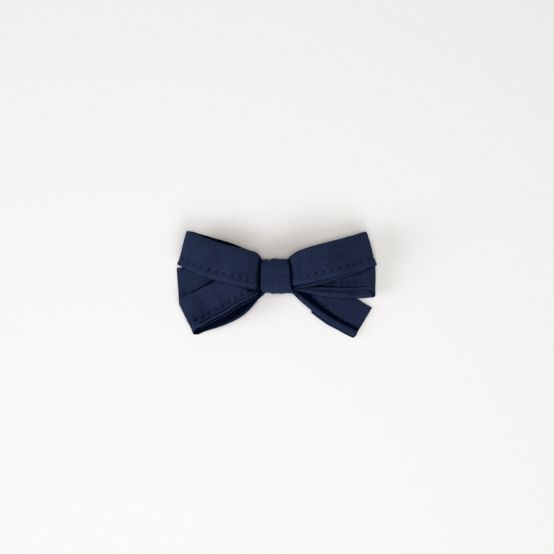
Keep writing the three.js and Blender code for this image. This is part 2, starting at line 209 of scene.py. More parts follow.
def ring_piece(name, points, material, uv, **values):
    """A closed piece of the bow from rings of points. Its UV is given in millimetres."""
    faces = tube_faces(*points.shape[:2])
    points, uv = points.reshape(-1, 3), (uv / 10).reshape(-1, 2)
    return make_piece(name, points, faces, material, BOW_BODY, uv, values)


# ---- the hemmed strip's section ----
# The strip is cotton folded along its upper edge, with both raw edges turned in at its lower edge
# and topstitched there. Below the seam its two lips part. w is the distance from the lower edge,
# and t the distance from the strip's middle surface.
FACE_PROFILE = np.array([  # w, t of the outer face below and at the seam
    (0.22, 0.36), (0.60, 0.41), (1.10, 0.42), (1.60, 0.42), (2.05, 0.41), (2.45, 0.38),
    (2.75, 0.34), (3.05, 0.29), (3.30, 0.27), (3.55, 0.29), (3.85, 0.34), (4.20, 0.38),
    (4.70, 0.40), (5.30, 0.41),
])
BODY_POINTS = 17
LIP_END = np.array([(0.05, 0.31), (0.0, 0.22), (0.05, 0.12)])
GROOVE = np.array([
    (0.5, 0.06), (1.4, 0.05), (2.3, 0.04), (2.6, 0.0), (2.3, -0.04), (1.4, -0.05), (0.5, -0.06)
])
FOLD_END = np.array([(0.10, -0.17), (0.0, 0.0), (0.10, 0.17)])  # distance in from the upper edge, t


def section_points(width):
    """w, t and face for the points round the strip: face is 1 outside, -1 inside and 0 on edges."""
    top = FACE_PROFILE[-1, 0]
    body_w = np.linspace(top + 0.8, width - 0.45, BODY_POINTS)
    share = (body_w - top) / (width - top)
    body_t = 0.40 + 0.05 * np.sin(math.pi * share) - 0.14 * smooth((share - 0.9) / 0.1)
    face_w = np.concatenate([FACE_PROFILE[:, 0], body_w])
    face_t = np.concatenate([FACE_PROFILE[:, 1], body_t])
    (lip_w, lip_t), (groove_w, groove_t), (fold_w, fold_t) = LIP_END.T, GROOVE.T, FOLD_END.T
    w = np.concatenate([face_w[::-1], lip_w, groove_w, lip_w[::-1], face_w, width - fold_w])
    t = np.concatenate([face_t[::-1], lip_t, groove_t, -lip_t[::-1], -face_t, fold_t])
    outer = np.ones(len(face_w))
    middle = np.zeros(len(lip_w) * 2 + len(groove_w))
    face = np.concatenate([outer, middle, -outer, np.zeros(len(fold_w))])
    return w, t, face


class Strip:
    """A strip's place: its centre line's frames, and where a point of its section lies."""

    def __init__(self, stations, seed, spec, crown, overhang, curl, roll, upturn):
        self.side = spec["side"]
        self.pleats = spec["pleats"]
        self.dents = spec.get("dents", [])
        self.scallop = spec.get("scallop", 0.0)
        self.crown, self.overhang = crown, overhang
        self.curl, self.roll, self.upturn = curl, roll, upturn
        self.s, rows = curve_through(stations, MESH_STEP)
        self.length = self.s[-1]
        self.centre = rows[:, :3]
        lean, roll, self.width = np.radians(rows[:, 3]), np.radians(rows[:, 4]), rows[:, 5]
        flat = np.cos(roll)
        self.across = np.stack([np.sin(lean) * flat, np.cos(lean) * flat, np.sin(roll)], axis=1)
        along = np.gradient(self.centre, self.s, axis=0)
        self.normal = unit(np.cross(self.across, along) * -self.side)
        self.sag = Ripple(seed, 26, 8)
        self.crumple = Ripple(seed + 100, 6, 2.0)
        self.waver = Ripple(seed + 200, 14, 4)
        self.uneven = Ripple(seed + 300, 11, 3)
        rng = np.random.default_rng(seed + 400)
        count = int(self.length / STITCH_PITCH) + 2
        self.hole_places = STITCH_PITCH * (np.arange(count) - 0.6) + rng.uniform(-0.3, 0.3, count)
        self.hole_strengths = rng.uniform(0.45, 1.0, count)
        self.shows = spec.get("seam_shows", (1.0, 1.0))
        self.shades = spec.get("shades", [])

    def from_knot(self, s):
        """The distance outside the knot's side of the ply at s: negative inside the knot."""
        x = np.interp(s, self.s, self.centre[:, 0])
        edge = WRAP_LOW[0] if self.side < 0 else WRAP_HIGH[0]
        return (x - edge) * self.side

    def at(self, s, w, t, face):
        """Places of section points. w runs from the lower edge, and t off the middle surface."""
        s, w, t, face = np.broadcast_arrays(s, w, t, face)
        centre, across, normal = (
            np.stack([np.interp(s, self.s, column) for column in table.T], axis=-1)
            for table in (self.centre, self.across, self.normal)
        )
        width = np.interp(s, self.s, self.width)
        out = self.from_knot(s)
        loose = smooth(out / SETTLE)
        share = w / width
        lip = np.clip(1 - w / SEAM_INSET, 0, 1)
        w = w - np.where(t < 0, self.overhang(s), 0) * lip
        w = w + EDGE_WAVER * self.waver(s, 0.0) * (np.abs(share - 0.5) * 2) ** 4
        thickness = t * (PINCH + (1 - PINCH) * loose) + np.sign(t) * LIP_OPENING * lip**1.5 * loose
        thickness = thickness - np.sign(t) * self.seam_dip(s, w, face) * loose
        free = smooth(out / 9.0)
        bend = self.crown(s) * (4 * share * (1 - share) - 0.6) * smooth(out / 12)
        bend = bend + self.curl(s) * free * (1 - smooth((w - 1.8) / 1.8)) * (0.7 + 0.15 * np.clip(w, 0, 2))
        bend = bend + self.roll(s) * free * bell(w, 0.95)
        bend = bend + self.upturn(s) * free * np.clip(1 - (width - w) / 2.2, 0, 1)
        bend = bend + self.gathers(s, w, out)
        bend = bend + SAG * smooth((out - 4) / 14) * self.sag(s, w)
        bend = bend + CRUMPLE * loose * self.crumple(s, w)
        for place, inset, depth, reach, spread in self.dents:
            bend = bend - depth * np.exp(-(((s - place) / reach) ** 2) - ((w - inset) / spread) ** 2)
        fan, depth = self.pleats
        pleat_fade = smooth((out + 0.6) / 2.2) * np.exp(-np.clip(out, 0, None) / 6.0)
        pleat = depth * pleat_fade * np.sin(2 * math.pi * fan * share + 0.7 + 0.08 * out)
        lift = thickness + bend + pleat
        return centre + across * (w - width / 2)[..., None] + normal * lift[..., None]

    def scallop_wave(self, s):
        """The wave along the strip that its scallops follow, from -1 to 1."""
        return np.sin(2 * math.pi * s / SCALLOP_PITCH + 1.6 * self.waver(s, 0.0))

    def gathers(self, s, w, out):
        """Fine puckers where the seam is pulled tight: near the knot, and scallops above the seam."""
        above = np.exp(-(np.abs(w - SEAM_INSET - 0.5) / 1.3) ** 2)
        near_knot = smooth((out + 0.3) / 1.5) * np.exp(-np.clip(out, 0, None) / 9.0)
        fine = self.uneven(3.1 * s, 0.0) + 0.8 * np.sin(2 * math.pi * s / 1.35 + 0.8 * w)
        pulled = 0.13 * near_knot * fine * above
        rise = smooth((w - 2.9) / 1.3) * np.exp(-np.clip(w - 4.2, 0, None) / 2.2)
        waves = 0.5 + 0.5 * self.scallop_wave(s)
        return pulled + self.scallop * smooth((out - 3) / 5) * rise * (0.35 + 0.65 * waves**2)

    def hole_nearness(self, s, w):
        """1 at a needle hole, falling to 0 round it."""
        phase = self.hole_phase(s)
        near = (phase - np.round(phase)) * STITCH_PITCH
        strength = np.interp(s, self.hole_places, self.hole_strengths)
        strength = strength * np.where(s < self.length / 2, self.shows[0], self.shows[1])
        return strength * np.exp(-(near**2 / 0.20 + (w - SEAM_INSET - 0.12) ** 2 / 0.30))

    def shade(self, s, w, face):
        """Painted shade, as deep creases have: bands, between the lips, and beside the wrap."""
        width = np.interp(s, self.s, self.width)
        scallop = 0.7 + 0.3 * self.scallop_wave(s)
        total = WRAP_SHADE * bell(self.from_knot(s), 0.9)
        total = total + LIP_SHADE * smooth((w - 0.08) / 0.5) * ((face == 0) & (w < SEAM_INSET))
        for band in self.shades:
            start, end = band["span"]
            share = np.clip((s - start) / (end - start), 0, 1)
            inset, breadth, amount = (
                first + (last - first) * share
                for first, last in (band["inset"], band["breadth"], band["amount"])
            )
            reach = smooth((s - start) / 3) * smooth((end - s) / 3)
            across = (width - w if band["from_top"] else w) - inset
            size = np.where((across > 0) & (self.scallop > 0), 1.5 * breadth * scallop, breadth)
            dark = amount * reach * np.exp(-np.abs(across / size) ** 2.4)
            total = total + dark * (face * band["side"] >= 0)
        return total

    def hole_phase(self, s):
        """A count along the seam that is whole at each needle hole."""
        return np.interp(s, self.hole_places, np.arange(len(self.hole_places)))

    def seam_dip(self, s, w, face):
        """How far the seam pulls a face in: a little all along, and more at each needle hole."""
        beside = w - SEAM_INSET
        phase = self.hole_phase(s)
        ridges = np.cos(2 * math.pi * phase + 0.35 * beside)
        pull = PUCKER * ridges * np.exp(-(np.abs(beside) / 1.7) ** 1.6)
        pull = pull * (1 + 1.2 * self.uneven(s, np.sign(beside) * 5.0))
        return (0.24 * self.hole_nearness(s, w) + pull) * (face != 0)

    def holes(self, start, end):
        """The needle holes between two places along the strip."""
        return [place for place in self.hole_places if start <= place <= end]


def strip_piece(name, strip, material, finished_end=False):
    """The strip's cloth as one closed mesh."""
    s = strip.s.copy()
    if finished_end:  # the end is turned in, so it closes with a rounded edge and a pressed line
        s = np.concatenate([s[:-1], strip.length - np.array([0.2, 0.08, 0.0])])
    rings = []
    for value in s:
        width = np.interp(value, strip.s, strip.width)
        w, t, face = section_points(width)
        if finished_end:
            left = strip.length - value
            t = t * (0.45 + 0.55 * smooth(left / 0.3)) * (1 - 0.35 * math.exp(-((left - 1.5) / 0.35) ** 2))
        rings.append((np.full(len(w), value), w, t, face))
    s_grid, w_grid, t_grid, face_grid = (np.stack(column) for column in zip(*rings))
    points = strip.at(s_grid, w_grid, t_grid, face_grid)
    wear = bell(w_grid - 0.3, 0.7) + bell(w_grid - STRIP_WIDTH, 0.5)
    uv = np.stack([s_grid, w_grid + BACK_UV * (face_grid < 0)], axis=-1)
    # hole and shade tell the material where to paint shade: in the needle holes, and in creases
    hole = strip.hole_nearness(s_grid, w_grid) * (face_grid != 0)
    shade = strip.shade(s_grid, w_grid, face_grid)
    piece = ring_piece(name, points, material, uv, wear=wear, hole=hole, shade=shade)
    return piece


# ---- stitches ----
SIDES = 8
STITCH_PROFILE = np.array([(0.0, -0.30), (0.07, -0.02), (0.2, 0.12), (0.4, 0.16), (0.6, 0.16),
                           (0.8, 0.12), (0.93, -0.02), (1.0, -0.30)])  # share along, height of its middle


def thread_rings(path, up, radius, twist=9.0, ridge=0.16):
    """Rings of points round a twisted thread, or a plain wire where ridge is 0, along path."""
    along = unit(np.gradient(path, axis=0))
    side = unit(np.cross(along, up))
    lift = np.cross(side, along)
    run = run_length(path)
    turn = np.arange(SIDES) * 2 * math.pi / SIDES
    r = radius * (1 + ridge * np.cos(2 * (turn[None, :] - twist * run[:, None])))
    ends = np.ones(len(path))
    ends[[0, -1]] = 0.55
    r = r * ends[:, None]
    return (
        path[:, None, :]
        + side[:, None, :] * (r * np.cos(turn))[..., None]
        + lift[:, None, :] * (r * np.sin(turn))[..., None]
    )


def add_tube(points, faces, rings):
    base = len(points)
    points.extend(rings.reshape(-1, 3))
    faces.extend(tuple(v + base for v in face) for face in tube_faces(*rings.shape[:2]))


def topstitch_piece(name, strip, material, start, end, seed):
    """Lockstitches on both faces of a strip, from one place along it to another."""
    rng = np.random.default_rng(seed)
    points, faces, shades = [], [], []
    profile_share, profile_height = STITCH_PROFILE.T
    holes = strip.holes(start, end)
    for face in (1, -1):
        for hole, following in zip(holes, holes[1:]):
            a, b = hole + STITCH_GAP / 2, following - STITCH_GAP / 2
            slant = rng.uniform(0.04, 0.16)
            even = np.linspace(0, 1, len(profile_share))
            share = np.interp(np.linspace(0, 1, 15), even, profile_share)
            height = np.interp(share, profile_share, profile_height)
            s = a + (b - a) * share
            w = SEAM_INSET + slant * (share - 0.5) * 2
            under = strip.at(s, w, face * 0.25, face)
            up = unit(strip.at(s, w, face * 1.25, face) - under)
            path = under + up * height[:, None]
            add_tube(points, faces, thread_rings(path, up, THREAD_RADIUS))
            # painted shade for the thread, as for the cloth under it
            shades.extend(np.repeat(strip.shade(s, w, np.full_like(s, face)), SIDES))
    piece = make_piece(name, points, faces, material, BOW_BODY, values={"shade": shades})
    return piece


# ---- materials ----
class Graph:
    """A material with one shader, and short ways to add nodes to it."""

    def __init__(self, name):
        self.material = bpy.data.materials.new(name)
        self.material.use_nodes = True
        self.tree = self.material.node_tree
        self.tree.nodes.clear()
        output = self.node("ShaderNodeOutputMaterial")
        self.shader = self.node("ShaderNodeBsdfPrincipled")
        self.tree.links.new(self.shader.outputs["BSDF"], output.inputs["Surface"])

    def node(self, kind):
        return self.tree.nodes.new(kind)

    def link(self, value, socket):
        if isinstance(value, bpy.types.NodeSocket):
            self.tree.links.new(value, socket)
        else:
            socket.default_value = value

    def wired(self, kind, inputs):
        """The outputs of a new node with these inputs."""
        node = self.node(kind)
        for name, value in inputs.items():
            self.link(value, node.inputs[name])
        return node.outputs

    def feed(self, name, value):
        self.link(value, self.shader.inputs[name])

    def math(self, operation, *values):
        node = self.node("ShaderNodeMath")
        node.operation = operation
        for value, socket in zip(values, node.inputs):
            self.link(value, socket)
        return node.outputs[0]

    def noise(self, vector, scale, detail=2.0, roughness=0.5):
        inputs = {"Vector": vector, "Scale": scale, "Detail": detail, "Roughness": roughness}
        return self.wired("ShaderNodeTexNoise", inputs)["Fac"]

    def stretch(self, vector, scale):
        node = self.node("ShaderNodeVectorMath")
        node.operation = "MULTIPLY"
        self.link(vector, node.inputs[0])
        node.inputs[1].default_value = scale
        return node.outputs[0]

    def ramp(self, value, low, high, colour_low, colour_high):
        node = self.node("ShaderNodeValToRGB")
        self.link(value, node.inputs["Fac"])
        first, last = node.color_ramp.elements
        first.position, first.color = low, (*colour_low, 1)
        last.position, last.color = high, (*colour_high, 1)
        return node.outputs["Color"]

    def span(self, value, low, high, to_low, to_high):
        node = self.node("ShaderNodeMapRange")
        for socket, number in zip(list(node.inputs)[1:5], (low, high, to_low, to_high)):
            socket.default_value = number
        self.link(value, node.inputs["Value"])
        return node.outputs["Result"]

    def mix(self, share, first, second, blend="MIX"):
        node = self.node("ShaderNodeMix")
        node.data_type = "RGBA"
        node.blend_type = blend
        self.link(share, node.inputs["Factor"])
        self.link(first, node.inputs["A"])
        self.link(second, node.inputs["B"])
        return node.outputs["Result"]

    def bump(self, height, distance, strength=1.0, normal=None):
        inputs = {"Strength": strength, "Distance": distance, "Height": height}
        if normal is not None:
            inputs["Normal"] = normal
        return self.wired("ShaderNodeBump", inputs)["Normal"]

    def uv(self, name):
        node = self.node("ShaderNodeUVMap")
        node.uv_map = name
        return node.outputs["UV"]

    def place(self):
        return self.node("ShaderNodeTexCoord").outputs["Object"]

    def attribute(self, name):
        node = self.node("ShaderNodeAttribute")
        node.attribute_name = name
        return node.outputs["Fac"]


def scaled(colour, factor):
    return tuple(channel * factor for channel in colour)


SHADE_COLOUR = (0.0003, 0.0012, 0.0075, 1)  # painted shade: cloth as dark as at the bottom of deep creases


def crease_shade(graph, outside=0.0, inside=0.96):
    """A value for painted shade, which changes from outside to inside as a point gets deeper in creases or
    further into a shade band.
    """
    shut = graph.math("ADD", graph.attribute("depth"), graph.attribute("shade"))
    return graph.span(shut, 0.12, 0.50, outside, inside)


def cotton(name, colour, threads_per_cm=28, sheen=0.16):
    """Plain-woven cotton. The cloth's UV map counts centimetres."""
    graph = Graph(name)
    cloth = graph.uv("cloth")
    split = graph.node("ShaderNodeSeparateXYZ")
    graph.link(cloth, split.inputs[0])
    waves = [
        graph.math("SINE", graph.math("MULTIPLY", axis, math.pi * threads_per_cm))
        for axis in (split.outputs["X"], split.outputs["Y"])
    ]
    weft, warp = (graph.math("ABSOLUTE", wave) for wave in waves)
    over = graph.math("MULTIPLY_ADD", graph.math("MULTIPLY", *waves), 0.5, 0.5)
    under = graph.math("SUBTRACT", 1.0, over)
    weave = graph.math(
        "MAXIMUM", graph.math("MULTIPLY", warp, over), graph.math("MULTIPLY", weft, under)
    )
    warp_slub = graph.noise(graph.stretch(cloth, (1.3, 26.0, 1.0)), 1.0, 3.0)
    weft_slub = graph.noise(graph.stretch(cloth, (26.0, 1.3, 1.0)), 1.0, 3.0)
    slub = graph.math("MULTIPLY", graph.math("ADD", warp_slub, weft_slub), 0.5)
    place = graph.place()
    mottle = graph.noise(place, 160.0, 4.0, 0.6)
    broad_warp = graph.noise(graph.stretch(cloth, (0.5, 8.0, 1.0)), 1.0, 2.0)
    broad_weft = graph.noise(graph.stretch(cloth, (8.0, 0.5, 1.0)), 1.0, 2.0)
    broad = graph.math("MULTIPLY", graph.math("ADD", broad_warp, broad_weft), 0.5)
    streaks = graph.math("ADD", graph.math("MULTIPLY", slub, 0.5), graph.math("MULTIPLY", broad, 0.5))
    tone = graph.ramp(streaks, 0.42, 0.58, scaled(colour, 0.76), scaled(colour, 1.3))
    raised = graph.span(weave, 0.1, 0.9, 0.0, 1.0)
    # painted shade between the raised threads of the weave
    between = graph.mix(1.0, tone, (0.62, 0.62, 0.66, 1), "MULTIPLY")
    tone = graph.mix(raised, between, tone)
    tone = graph.mix(graph.span(mottle, 0.35, 0.65, 0.0, 0.22), tone, (*scaled(colour, 1.7), 1))
    fuzz = graph.noise(place, 2600.0, 2.0)
    worn = graph.math("MULTIPLY", graph.attribute("wear"), graph.span(fuzz, 0.35, 0.7, 0.05, 0.42))
    tone = graph.mix(worn, tone, (*scaled(colour, 2.2), 1))
    # painted shade in the needle holes, beside the real dip that the seam makes
    hole_shade = graph.math("MULTIPLY", graph.attribute("hole"), 0.9)
    tone = graph.mix(hole_shade, tone, SHADE_COLOUR)
    # painted shade in creases, between the lips, beside the wrap and along the shade bands
    tone = graph.mix(crease_shade(graph), tone, SHADE_COLOUR)
    graph.feed("Base Color", tone)
    graph.feed("Roughness", graph.span(slub, 0.3, 0.7, 0.74, 0.92))
    lumps = graph.bump(graph.noise(place, 420.0, 3.0, 0.55), 0.00016, 0.45)
    fibres = graph.bump(graph.math("ADD", weave, graph.math("MULTIPLY", slub, 0.6)), 0.00007, 0.85, lumps)
    graph.feed("Normal", fibres)
    # the painted shade also takes reflection and sheen away there
    graph.feed("Specular IOR Level", crease_shade(graph, 0.1, 0.01))
    graph.feed("Sheen Weight", crease_shade(graph, sheen, 0.02))
    graph.feed("Sheen Roughness", 0.4)
    graph.feed("Sheen Tint", (0.25, 0.38, 0.9, 1))
    return graph.material


def sewing_thread(name, colour):
    graph = Graph(name)
    strands = graph.noise(graph.place(), 5200.0, 2.0)
    tone = graph.ramp(strands, 0.32, 0.68, scaled(colour, 0.7), scaled(colour, 1.5))
    # painted shade where the thread lies deep in creases, with less reflection and sheen there too
    tone = graph.mix(crease_shade(graph), tone, SHADE_COLOUR)
    graph.feed("Base Color", tone)
    graph.feed("Roughness", graph.span(strands, 0.3, 0.7, 0.45, 0.68))
    graph.feed("Normal", graph.bump(strands, 0.00004, 0.6))
    graph.feed("Specular IOR Level", crease_shade(graph, 0.14, 0.01))
    graph.feed("Sheen Weight", crease_shade(graph, 0.06, 0.01))
    graph.feed("Sheen Roughness", 0.4)
    graph.feed("Sheen Tint", (0.3, 0.42, 1.0, 1))
    return graph.material


def plated_steel(name, colour, grain=(60.0, 3000.0, 3000.0), roughness=0.24):
    """Nickel-plated steel with fine drawing marks along X and a little tarnish."""
    graph = Graph(name)
    place = graph.place()
    marks = graph.noise(graph.stretch(place, grain), 1.0, 3.0, 0.6)
    tarnish = graph.noise(place, 240.0, 4.0, 0.6)
    tone = graph.ramp(tarnish, 0.3, 0.7, scaled(colour, 0.82), scaled(colour, 1.08))
    graph.feed("Base Color", tone)
    dull = graph.span(tarnish, 0.3, 0.7, 0.0, 0.12)
    drawn = graph.span(marks, 0.3, 0.7, roughness - 0.05, roughness + 0.05)
    graph.feed("Roughness", graph.math("ADD", dull, drawn))
    graph.feed("Normal", graph.bump(marks, 0.00002, 0.25))
    graph.feed("Metallic", 1.0)
    return graph.material


NAVY = (0.0127, 0.0213, 0.0562)
COTTON = cotton("navy_cotton", NAVY)
THREAD = sewing_thread("navy_thread", scaled(NAVY, 1.85))
STEEL = plated_steel("nickel_plate", (0.62, 0.62, 0.61))
RIBBON = cotton("navy_grosgrain", scaled(NAVY, 0.95), threads_per_cm=44, sheen=0.3)
SPRING = plated_steel("spring_wire", (0.46, 0.46, 0.47), (900.0, 900.0, 900.0), 0.34)

# ---- loops and tails ----
OUTER, INNER = 1, -1  # faces of a loop's strip, and the upper and lower faces of a tail


def shade_band(side, span, inset, breadth, amount, from_top=False):
    """A band of painted shade along a strip's face. Each pair is for the band's start and its end."""
    return {
        "side": side, "span": span, "inset": inset, "breadth": breadth, "amount": amount,
        "from_top": from_top,
    }


# A station is x, y, z of the strip's middle, its lean (degrees that its upper edge leans towards
# +X), its roll (degrees that its upper edge is raised) and its width. x and y are from the knot's
# middle, and z is from the surface that the bow lies on. crown (the middle bows out), overhang (the
# inner lip passes the outer), curl and roll (the lower edge lifts, broadly and at its rim) and upturn
# (the upper edge does) are pairs for a loop's front and back plies, and a tail uses the first.
# shades lists the bands of painted shade on a strip's faces.
LOOPS = {
    "upper_left_loop": {
        "side": -1,
        "front": [
            (-0.4, 0.2, 11.6, 0, 0, 11.4), (-5.0, 0.6, 11.6, 1, 0, 12.2), (-6.2, 1.4, 11.9, 2, 0, 13.8),
            (-7.8, 2.3, 13.3, 4, 1, 15.6), (-13.4, 3.7, 16.0, 9, 1, 16.1), (-23.1, 6.1, 16.3, 10, 1, 16.1),
            (-29.8, 8.2, 15.0, 10, -1, 16.0), (-36.6, 10.9, 11.0, 13, 0, 15.9),
        ],
        "tips": [(-40.5, 12.5, 7.4, 15, 0, 15.8), (-40.5, 12.7, 7.2, 15, 0, 15.8)],
        "back": [
            (-0.4, 0.0, 10.7, 0, 0, 11.4), (-5.6, 0.6, 10.7, 2, 0, 12.0), (-7.4, 1.4, 11.1, 4, 0, 13.6),
            (-10.0, 2.9, 12.2, 6, 0, 15.0), (-14.6, 4.7, 13.5, 8, 1, 15.8),
            (-22.0, 7.3, 13.3, 10, 1, 16.2), (-29.0, 9.3, 11.5, 12, 1, 16.2),
            (-36.0, 11.6, 8.2, 14, 0, 15.9),
        ],
        "dents": [(27.0, 11.5, 0.9, 3.2, 4.5)],
        "crown": (0.9, -0.3), "pleats": (1.4, 0.2), "overhang": (0.5, 0.3),
        "curl": (0.35, 0.3), "roll": (0.25, 0.4), "upturn": (-0.4, -0.5),
        "shades": [shade_band(INNER, (44, 76), (0.4, 0.4), (2.0, 2.0), (0.65, 0.65), from_top=True)],
    },
    "upper_right_loop": {
        "side": 1,
        "front": [
            (0.4, 0.2, 11.6, 0, 0, 11.4), (5.2, 0.8, 11.7, -2, 0, 11.6), (7.0, 1.9, 12.3, -5, -2, 12.6),
            (10.2, 3.6, 14.4, -6, -5, 14.5), (15.1, 5.1, 16.4, -9, -9, 15.7),
            (22.7, 7.0, 16.9, -12, -11, 16.1), (29.3, 8.7, 15.7, -13, -11, 16.1),
            (36.4, 10.6, 12.6, -13, -8, 16.0),
        ],
        "tips": [(42.5, 12.4, 8.8, -17, -4, 15.9), (42.5, 12.2, 8.6, -17, -4, 15.9)],
        "dents": [(13.5, 11.0, 0.9, 3.5, 4.0), (33.0, 12.0, 0.7, 5.0, 5.0)],
        "back": [
            (0.4, -0.2, 10.7, 0, 0, 11.4), (5.2, 0.2, 10.7, -2, 0, 11.6), (7.4, 0.5, 11.3, -4, -2, 12.2),
            (10.4, 1.9, 13.2, -6, -5, 13.8), (15.1, 3.5, 14.3, -9, -8, 15.6),
            (22.4, 5.4, 13.9, -11, -8, 16.0), (29.5, 7.6, 12.1, -12, -7, 15.9),
            (36.6, 9.9, 9.4, -14, -5, 15.8),
        ],
        "crown": (0.9, -0.3), "pleats": (1.2, 0.2), "overhang": (0.3, 0.2),
        "curl": (0.3, 0.5), "roll": (0.2, 0.9),
        "shades": [shade_band(INNER, (48, 91), (3.0, 3.0), (1.8, 2.2), (0.6, 0.8))],
    },
    "lower_left_loop": {
        "side": -1,
        "front": [
            (-0.4, 0.0, 9.8, 0, 0, 11.4), (-5.4, -0.3, 9.8, 0, 0, 11.8), (-7.0, -0.8, 10.0, -2, 0, 13.2),
            (-10.9, -2.0, 10.9, -10, 0, 14.8), (-17.8, -5.2, 11.1, -16, 0, 15.2),
            (-25.4, -9.9, 9.7, -22, 1, 14.9), (-32.5, -13.6, 7.6, -24, 0, 14.8),
        ],
        "tips": [(-39.3, -18.1, 5.2, -25, 2, 15.5), (-38.5, -19.2, 4.4, -25, 2, 15.7)],
        "dents": [(37.5, 5.2, 0.7, 6.0, 4.0)],
        "back": [
            (-0.4, 0.0, 8.9, 0, 0, 11.4), (-3.2, -0.5, 8.9, 0, 0, 11.6), (-5.0, -1.7, 9.0, -2, 0, 13.0),
            (-7.0, -3.0, 9.2, -3, 0, 13.4), (-9.4, -4.9, 9.5, -7, 0, 14.2),
            (-13.4, -8.3, 9.6, -13, 0, 14.9), (-19.8, -12.3, 8.8, -20, -2, 15.2),
            (-25.8, -15.0, 7.4, -22, -2, 15.3), (-34.4, -17.9, 5.1, -24, 0, 15.1),
        ],
        "crown": (0.6, -0.8), "pleats": (1.6, 0.15), "overhang": (1.15, 0.2),
        "curl": (0.5, 0.2), "roll": (0.8, 0.5), "seam_shows": (0.6, 0.1),
        "shades": [
            shade_band(INNER, (40, 86), (3.4, 4.6), (3.6, 3.6), (0.9, 0.8)),
            shade_band(OUTER, (8, 27), (0.9, 16.6), (1.1, 1.1), (0.3, 0.3)),
            shade_band(OUTER, (20, 60), (6.0, 5.0), (6.5, 7.5), (0.10, 0.26)),
            shade_band(OUTER, (6, 42), (1.3, 1.3), (0.5, 0.5), (0.35, 0.25)),
        ],
    },
    "lower_right_loop": {
        "side": 1,
        "front": [
            (0.4, 0.0, 9.8, 0, 0, 11.4), (5.4, 0.5, 9.8, 0, 0, 11.6), (7.8, 1.4, 10.2, 0, -3, 12.0),
            (12.8, 1.8, 11.1, 0, -7, 14.2), (20.3, 1.8, 11.1, 0, -9, 15.6), (28.0, 1.7, 9.9, 1, -9, 15.9),
            (35.2, 1.7, 7.9, 1, -6, 15.9),
        ],
        "tips": [(44.0, 1.2, 5.2, 1, -2, 15.8), (44.9, -1.6, 4.9, 1, 0, 15.8)],
        "back": [
            (0.4, -0.2, 8.9, 0, 0, 11.4), (5.4, -0.1, 8.9, 0, 0, 11.6), (8.1, 0.0, 9.1, 0, -2, 12.0),
            (14.5, 0.1, 10.1, 0, -4, 14.4), (21.0, -0.6, 9.7, 0, -5, 15.8), (29.0, -1.4, 8.1, 0, -5, 15.8),
            (37.0, -1.9, 5.3, 0, -2, 15.8), (43.6, -1.75, 4.8, 1, 0, 15.8),
        ],
        "crown": (0.7, -0.5), "pleats": (1.5, 0.15), "overhang": (0.4, 0.2),
        "curl": (0.4, 0.4), "roll": (0.7, 0.5), "seam_shows": (0.08, 0.1),
        "shades": [
            shade_band(INNER, (52, 92), (3.2, 3.2), (1.2, 1.6), (0.0, 0.75)),
            shade_band(OUTER, (4, 46), (-0.6, 11.4), (1.6, 1.2), (0.65, 0.5)),
            shade_band(OUTER, (3, 45), (1.3, 1.2), (0.6, 0.4), (0.5, 0.35)),
            shade_band(OUTER, (8, 44), (7.0, 7.0), (5.0, 5.0), (0.16, 0.04)),
        ],
    },
}

TAILS = {
    "left_tail": {
        "side": -1,
        "front": [
            (-0.4, 0.0, 8.0, 0, 0, 11.4), (-5.4, -0.5, 8.0, 0, 0, 11.8), (-7.4, -0.8, 8.0, -1, 0, 13.0),
            (-12.0, -1.2, 7.7, -3, 0, 15.0), (-20.0, -1.6, 7.3, -4, 0, 16.0),
            (-29.0, -2.1, 4.9, -5, -1, 16.0), (-37.0, -2.9, 2.7, -5, 0, 15.9),
            (-43.8, -4.1, 1.4, -4, 0, 15.8),
        ],
        "crown": (0.3, 0.0), "pleats": (1.5, 0.12), "overhang": (0.2, 0.2), "step": 16,
        "curl": (0.3, 0.0), "roll": (0.2, 0.0),
        "shades": [
            shade_band(OUTER, (17, 42), (12.7, 0.8), (1.3, 1.0), (0.6, 0.35)),
            shade_band(OUTER, (18, 44), (5.6, 17.0), (1.1, 1.1), (0.45, 0.45)),
        ],
    },
    "right_tail": {
        "side": 1,
        "front": [
            (0.4, 0.0, 8.0, 0, 0, 11.4), (5.4, -1.0, 8.0, 2, 0, 11.6), (8.3, -1.8, 8.0, 4, 0, 12.0),
            (12.6, -3.6, 8.0, 15, 1, 14.0), (20.1, -8.5, 7.5, 26, 2, 15.5),
            (30.2, -15.2, 4.6, 30, -2, 16.0), (35.7, -18.2, 2.2, 30, 0, 15.8),
            (40.4, -20.9, 0.62, 31, 0, 15.4),
        ],
        "crown": (0.5, 0.1), "pleats": (1.7, 0.25), "overhang": (0.9, 0.2), "step": 21.2,
        "curl": (1.5, 0.0), "roll": (0.2, 0.0), "scallop": 0.45,
        "shades": [shade_band(OUTER, (6, 50), (4.1, 3.5), (1.8, 0.7), (0.6, 0.26))],
    },
}


def placed(station):
    x, y, z, lean, roll, width = station
    return (KNOT[0] + x, KNOT[1] + y, z, lean, roll, width)


def fold_stations(side, tips):
    """Stations round a loop's fold, from the front ply's tip to the back ply's."""
    front, back = (np.array(placed(tip)) for tip in tips)
    rows = []
    for degrees in (70, 35, 0, -35, -70):
        share = (70 - degrees) / 140
        row = front + (back - front) * share
        turn, lean = math.radians(degrees), math.radians(row[3])
        reach = FOLD_RADIUS * math.cos(turn)
        row[0] += side * reach * math.cos(lean)
        row[1] += -side * reach * math.sin(lean)
        row[2] += FOLD_RADIUS * math.sin(turn)
        rows.append(row)
    return rows


